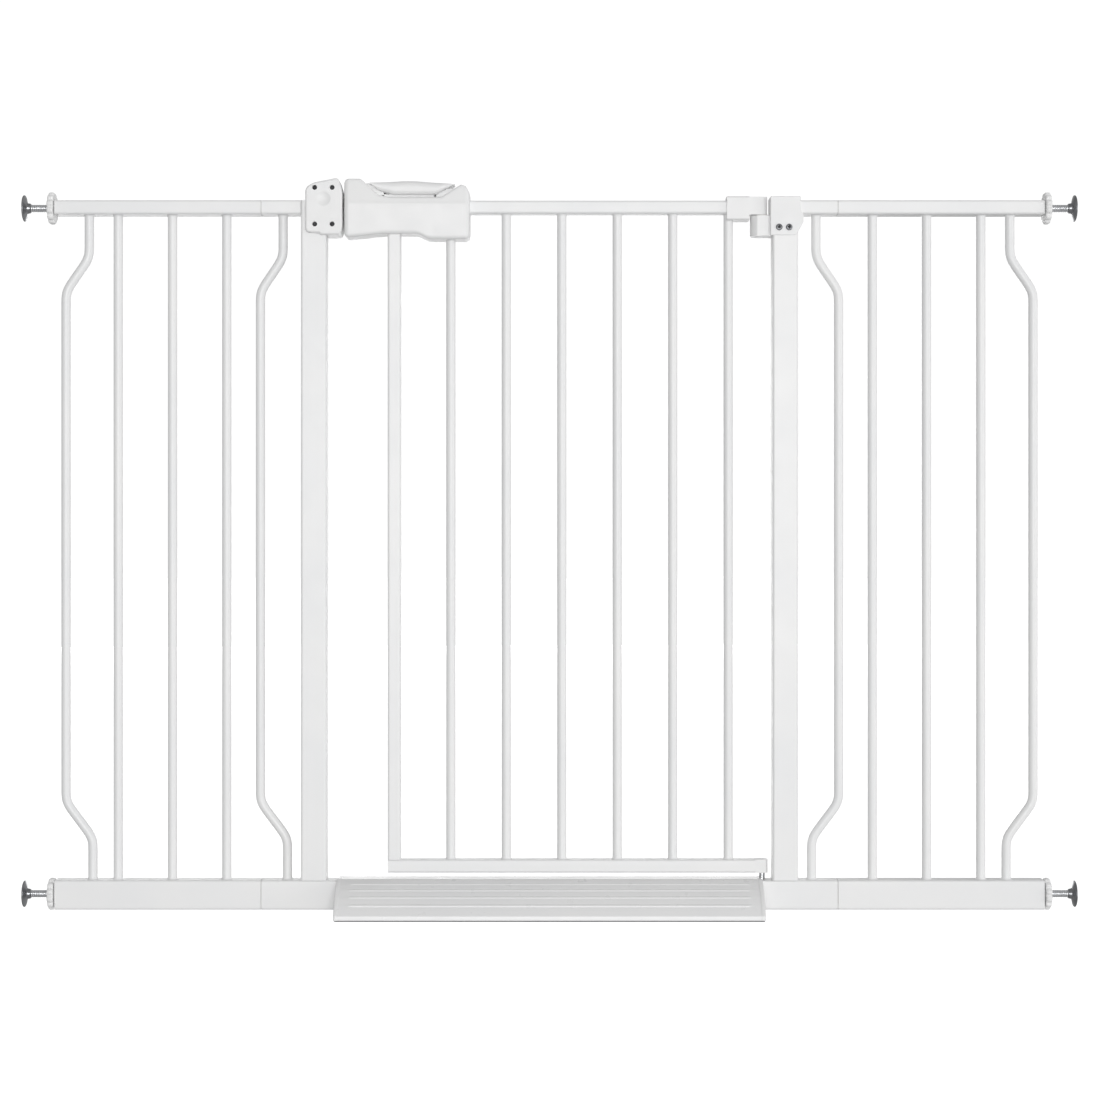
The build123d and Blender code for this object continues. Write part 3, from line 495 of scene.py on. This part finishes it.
def moulded(x, low, high, depth, edge, lean, half=0, parting=0.0):
    """A moulding along X: each section goes from low to high, bulging to depth at mid height.

    Its long edges are quarter circles of radius edge, one for the lower and one for the upper.
    lean(z) is the depth lost at height z.
    half is -1 or 1 for the front or rear half only, closed by a wall at the parting plane.
    """
    lower, upper = (np.broadcast_to(radius, len(x))[:, None] for radius in edge)
    corner = np.linspace(0.0, math.pi / 2, 9)
    face = np.linspace(0.0, 1.0, 26)[1:-1]
    none = np.zeros(len(face))
    sunk_low = np.concatenate([np.ones(4), np.cos(corner), none, np.zeros(13)])
    sunk_high = np.concatenate([np.zeros(13), none, np.cos(corner[::-1]), np.ones(4)])
    bend_low = np.concatenate([np.ones(4), 1 - np.sin(corner), none, np.zeros(13)])
    bend_high = np.concatenate([np.zeros(13), none, 1 - np.sin(corner[::-1]), np.ones(4)])
    face_share = np.concatenate([np.zeros(13), face, np.ones(13)])
    bottom, top = low[:, None] + lower, high[:, None] - upper
    z = bottom + face_share * (top - bottom) - lower * sunk_low + upper * sunk_high
    inwards = lower * bend_low + upper * bend_high
    y = depth[:, None] - lean(z) - inwards
    y[:, :4] = parting + (y[:, 3:4] - parting) * np.linspace(0.0, 0.92, 4)
    y[:, -4:] = parting + (y[:, -4:-3] - parting) * np.linspace(0.92, 0.0, 4)
    along = np.repeat(x[:, None], z.shape[1], axis=1)
    if half:
        return loft(np.stack([along, half * y, z], axis=-1))
    there = np.stack([along, -y, z], axis=-1)
    back = np.stack([along, y, z], axis=-1)[:, ::-1][:, 1:-1]
    return loft(np.concatenate([there, back], axis=1))


handle_low, handle_high = (np.array(c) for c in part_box("handle_front"))
HANDLE_DEPTH = -handle_low[1]
HANDLE_END = 5.0 * MM
RIDGE_Z = 763.0 * MM


def handle_lean(z):
    """Depth lost at height z: a power curve above and below a ridge with a Gaussian bead."""
    above = np.clip((z - RIDGE_Z) / (handle_high[2] - RIDGE_Z), 0.0, 1.0)
    below = np.clip((RIDGE_Z - z) / (RIDGE_Z - handle_low[2]), 0.0, 1.0)
    bead = 0.4 * MM * np.exp(-((z - RIDGE_Z) / (1.5 * MM)) ** 2)
    return 0.4 * MM + 2.3 * MM * above ** 1.1 + 1.8 * MM * below ** 1.5 - bead


def handle_half(half):
    """One shell of the handle: a flat left block, a scoop for the slider, a stepped underside."""
    left, right = handle_low[0], handle_high[0]
    x = stations(left, right, HANDLE_END, 170)
    base = handle_low[2]
    top = handle_high[2]
    high = soft_steps(
        x, np.array([-202.5, -184.0, -172.0, -116.0, -95.0, -90.5, -85.6]) * MM,
        top - np.array([0.0, 17.4, 20.0, 20.0, 6.1, 7.6, 13.0]) * MM, 1.1 * MM)
    low = soft_steps(
        x, np.array([-220.3, -178.0, -142.0, -130.0]) * MM,
        base + np.array([1.4, 5.8, 5.8, 0.0]) * MM, 2.2 * MM)
    shrink = end_rounding(x, HANDLE_END)
    depth = np.full(len(x), HANDLE_DEPTH) - shrink
    return moulded(x, low + shrink, high - shrink, depth, (3.4 * MM, 2.6 * MM), handle_lean,
                   half, 0.12 * MM)


piece("handle_front_shell", [handle_half(-1)], plastic, "door", ("handle_front",))
piece("handle_rear_shell", [handle_half(1)], plastic, "door", ("handle_rear",))

SLIDER_DEPTH = 12.0 * MM
SLIDER_TAPER = 4.0 * MM
SLIDER_TOP = ((-193.5, 786.6), (-150.0, 789.6), (-102.0, 785.4))
SLIDER_FOOT = ((-193.5, 786.4), (-184.0, 778.8), (-168.0, 773.8), (-122.0, 773.8), (-102.0, 785.2))
# the blocks under the slider, two wings and the keel between them: x0, x1, z0, z1
SLIDER_BLOCKS = (
    (-199.5, -178.0, 771.6, 786.8), (-124.0, -101.2, 771.6, 781.4), (-180.0, -122.0, 771.6, 775.0))
BLOCK_DEPTH = 7.0


def slider_surfaces():
    """The thumb slider: a long body between a crowned top and a stepped foot, on three blocks.

    Its depth shrinks by a parabola over the last 14 mm on the right.
    """
    top_x, top_z = np.array(SLIDER_TOP).T * MM
    foot_x, foot_z = np.array(SLIDER_FOOT).T * MM
    x = stations(top_x[0], top_x[-1], 1.2 * MM, 120)
    high = soft_steps(x, top_x, top_z, 9 * MM)
    low = np.minimum(soft_steps(x, foot_x, foot_z, 1.8 * MM), high - 1.0 * MM)
    taper = np.clip((x - -116.0 * MM) / (14.0 * MM), 0.0, 1.0) ** 2
    depth = SLIDER_DEPTH - SLIDER_TAPER * taper
    rise = high - low
    edges = (np.minimum(rise * 0.42, 5.2 * MM), np.minimum(rise * 0.45, 6.4 * MM))
    body = moulded(x, low, high, depth, edges, np.zeros_like)
    blocks = []
    for x0, x1, z0, z1 in SLIDER_BLOCKS:
        along = np.linspace(x0, x1, 6) * MM
        level = np.ones(len(along)) * MM
        blocks.append(moulded(along, z0 * level, z1 * level, BLOCK_DEPTH * level,
                              (1.0 * MM, 1.0 * MM), np.zeros_like))
    return [body] + blocks


piece("slider_grip", slider_surfaces(), plastic, "latch", ("thumb_slider",))


# ---- ramp: ribbed cover and end caps -----------------------------------------------------
cover_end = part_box("ramp_cover")[1][0]
RAMP_TOP = 39.0 * MM
RIBS = (0.2, 0.4, 0.6, 0.8)        # places on the slope, as shares of its length
RIB_RISE = 0.85 * MM


def slope_arc(share):
    """Points (y, z) on the ramp's rear slope, share going from 0, the top, to 1, the lip."""
    start, middle, end = (12.5, 39.0), (37.0, 26.8), (56.0, 7.5)
    matrix = np.array([[2 * (middle[0] - start[0]), 2 * (middle[1] - start[1])],
                       [2 * (end[0] - start[0]), 2 * (end[1] - start[1])]])
    squares = [middle[0] ** 2 + middle[1] ** 2 - start[0] ** 2 - start[1] ** 2,
               end[0] ** 2 + end[1] ** 2 - start[0] ** 2 - start[1] ** 2]
    centre = np.linalg.solve(matrix, squares)
    from_angle = math.atan2(start[1] - centre[1], start[0] - centre[0])
    to_angle = math.atan2(end[1] - centre[1], end[0] - centre[0])
    angle = from_angle + (to_angle - from_angle) * share
    radius = math.hypot(start[0] - centre[0], start[1] - centre[1])
    return np.stack([centre[0] + radius * np.cos(angle), centre[1] + radius * np.sin(angle)],
                    axis=-1) * MM


def ramp_outline(grow, rib):
    """The outside of the ramp from front foot to rear foot, grown outwards, with its ribs."""
    share = np.linspace(0.0, 1.0, 121)
    arc = slope_arc(share)
    tangent = np.gradient(arc, axis=0)
    normal = np.stack([-tangent[:, 1], tangent[:, 0]], axis=-1)
    normal /= np.linalg.norm(normal, axis=1)[:, None]
    normal *= np.sign(normal[:, 1:])
    height = sum(np.clip(1 - ((share - at) / 0.028) ** 2, 0.0, 1.0) ** 0.8 for at in RIBS)
    arc = arc + normal * (grow + rib * height)[:, None]
    round_lip = np.array([(56.6, 6.9), (57.0, 6.1), (57.0, 1.5)]) * MM
    round_lip[:, 0] += grow
    rear = np.concatenate([[(10.0 * MM, RAMP_TOP + grow)], arc, round_lip])
    front = rear[::-1] * np.array([-1.0, 1.0])
    return np.concatenate([front, rear])


def ramp_section(x, outline, inner):
    """The closed section at x."""
    ring = np.concatenate([outline, inner])
    return np.hstack([np.full((len(ring), 1), x), ring])


def mirrored_path(path):
    """Rear half of an inner path, then its front half."""
    path = np.array(path) * MM
    return np.concatenate([path, path[::-1] * np.array([-1.0, 1.0])])


cover_inner = mirrored_path([
    (47.0, 1.5), (47.0, 11.5), (34.5, 23.5), (15.6, 34.0), (15.6, 1.5), (12.6, 1.5), (12.6, 37.6)])
cap_inner = mirrored_path([(12.6, 1.5), (12.6, 37.6)])


def ramp_cover_surface():
    """The cover, whose ribs fade out as a quarter sine over 5 mm near both ends."""
    rib_end = cover_end - 9.0 * MM
    fade = np.linspace(0.0, 1.0, 7)
    ends = rib_end - 5.0 * MM * fade
    x = np.concatenate([[-cover_end], -ends, ends[::-1], [cover_end]])
    faded = np.sin(fade * math.pi / 2)
    rise = RIB_RISE * np.concatenate([[0.0], faded, faded[::-1], [0.0]])
    return loft(np.stack([
        ramp_section(at, ramp_outline(0.0, up), cover_inner) for at, up in zip(x, rise)]))


def ramp_cap_surface():
    """An end cap: a slice of the ramp a little prouder than the cover, rounded at both edges."""
    inside, outside = cover_end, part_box("ramp_end_caps")[1][0]
    turn = np.linspace(0.0, math.pi / 2, 5)
    small, large = 0.4 * MM, 1.3 * MM
    along, across = 1 - np.cos(turn), 1 - np.sin(turn)
    x = np.concatenate([inside + small * along, outside - large * along[::-1]])
    inset = np.concatenate([small * across, large * across[::-1]])
    return loft(np.stack([
        ramp_section(at, ramp_outline(0.5 * MM - cut, 0.0), cap_inner)
        for at, cut in zip(x, inset)]))


piece("ribbed_ramp", [ramp_cover_surface()], ramp_plastic, "frame", ("ramp_cover",))
ramp_cap = ramp_cap_surface()
piece("ramp_caps", [ramp_cap, flipped(ramp_cap)], ramp_plastic, "frame",
      ("ramp_end_caps",))


# ---- floor, light and camera -------------------------------------------------------------
FLOOR_REACH = 30.0
FLOOR_GLOW = 0.72
BACKDROP = 1.05                       # strength of the white that the view ends in
AMBIENT, AMBIENT_RIGHT, AMBIENT_FALL = 0.56, 0.17, 0.11
VIEW_DISTANCE, VIEW_WIDTH, VIEW_CENTRE = 2.5, 1.1862, (0.0005, 0.3923)
# place, size and watts of each light; all face the gate's middle
GATE_MIDDLE = (0.0, 0.0, 0.4)
SOFT_BOXES = {
    "front light": ((0.35, -7.0, 0.6), (3.6, 2.6), 246.0),
    "right light": ((4.5, -1.6, 0.5), (1.4, 1.8), 30.0),
    "rear light": ((-0.6, 7.0, 0.3), (3.6, 2.6), 65.0),
}


def stage():
    """A wide pale floor just under the gate."""
    mesh = bpy.data.meshes.new("floor")
    reach = FLOOR_REACH
    mesh.from_pydata(
        [(-reach, -reach, 0.0), (reach, -reach, 0.0), (reach, reach, 0.0), (-reach, reach, 0.0)],
        [], [(0, 1, 2, 3)])
    floor = bpy.data.objects.new("floor", mesh)
    material, main = shader("pale floor", 0.9, specular=0.0)
    main.inputs["Base Color"].default_value = (0.9, 0.9, 0.9, 1.0)
    main.inputs["Emission Color"].default_value = (1.0, 1.0, 1.0, 1.0)
    main.inputs["Emission Strength"].default_value = FLOOR_GLOW
    mesh.materials.append(material)
    bpy.context.scene.collection.objects.link(floor)
    floor.visible_diffuse = False
    floor.visible_glossy = False


def soft_box(name, place, size, watts):
    """A rectangular light at place that faces the gate's middle."""
    data = bpy.data.lights.new(name, "AREA")
    data.shape = "RECTANGLE"
    data.size, data.size_y = size
    data.energy = watts
    lamp = bpy.data.objects.new(name, data)
    lamp.location = place
    direction = np.array(GATE_MIDDLE) - np.array(place)
    yaw = math.atan2(direction[1], direction[0]) - math.pi / 2
    pitch = math.atan2(direction[2], math.hypot(direction[0], direction[1]))
    lamp.rotation_euler = (math.pi / 2 + pitch, 0.0, yaw)
    bpy.context.scene.collection.objects.link(lamp)


def surroundings():
    """White behind the gate; as a light, dim above, below and on the left."""
    world = bpy.data.worlds.new("studio")
    world.use_nodes = True
    nodes, links = world.node_tree.nodes, world.node_tree.links

    def math_node(operation, first, second):
        node = nodes.new("ShaderNodeMath")
        node.operation = operation
        for socket, value in zip(node.inputs, (first, second)):
            if isinstance(value, float):
                socket.default_value = value
            else:
                links.new(value, socket)
        return node.outputs["Value"]

    place = nodes.new("ShaderNodeTexCoord")
    axes = nodes.new("ShaderNodeSeparateXYZ")
    links.new(place.outputs["Generated"], axes.inputs["Vector"])
    height = math_node("ABSOLUTE", axes.outputs["Z"], 0.0)
    side = math_node("MULTIPLY_ADD", axes.outputs["X"], AMBIENT_RIGHT)
    side.node.inputs[2].default_value = AMBIENT
    ambient = math_node("SUBTRACT", side, math_node("MULTIPLY", height, AMBIENT_FALL))
    ray = nodes.new("ShaderNodeLightPath")
    strength = nodes.new("ShaderNodeMix")
    strength.inputs["B"].default_value = BACKDROP
    links.new(ambient, strength.inputs["A"])
    links.new(ray.outputs["Is Camera Ray"], strength.inputs["Factor"])
    background = nodes["Background"]
    background.inputs["Color"].default_value = (1.0, 1.0, 1.0, 1.0)
    links.new(strength.outputs["Result"], background.inputs["Strength"])
    bpy.context.scene.world = world


def camera():
    """Level camera in front of the gate's middle, at half its height."""
    data = bpy.data.cameras.new("camera")
    data.sensor_width = 36.0
    data.lens = data.sensor_width * VIEW_DISTANCE / VIEW_WIDTH
    data.clip_end = 200.0
    obj = bpy.data.objects.new("camera", data)
    obj.location = (VIEW_CENTRE[0], -VIEW_DISTANCE, VIEW_CENTRE[1])
    obj.rotation_euler = (math.pi / 2, 0.0, 0.0)
    bpy.context.scene.collection.objects.link(obj)
    bpy.context.scene.camera = obj


stage()
surroundings()
for light_name, light in SOFT_BOXES.items():
    soft_box(light_name, *light)
camera()
bpy.context.scene.view_settings.view_transform = "Standard"
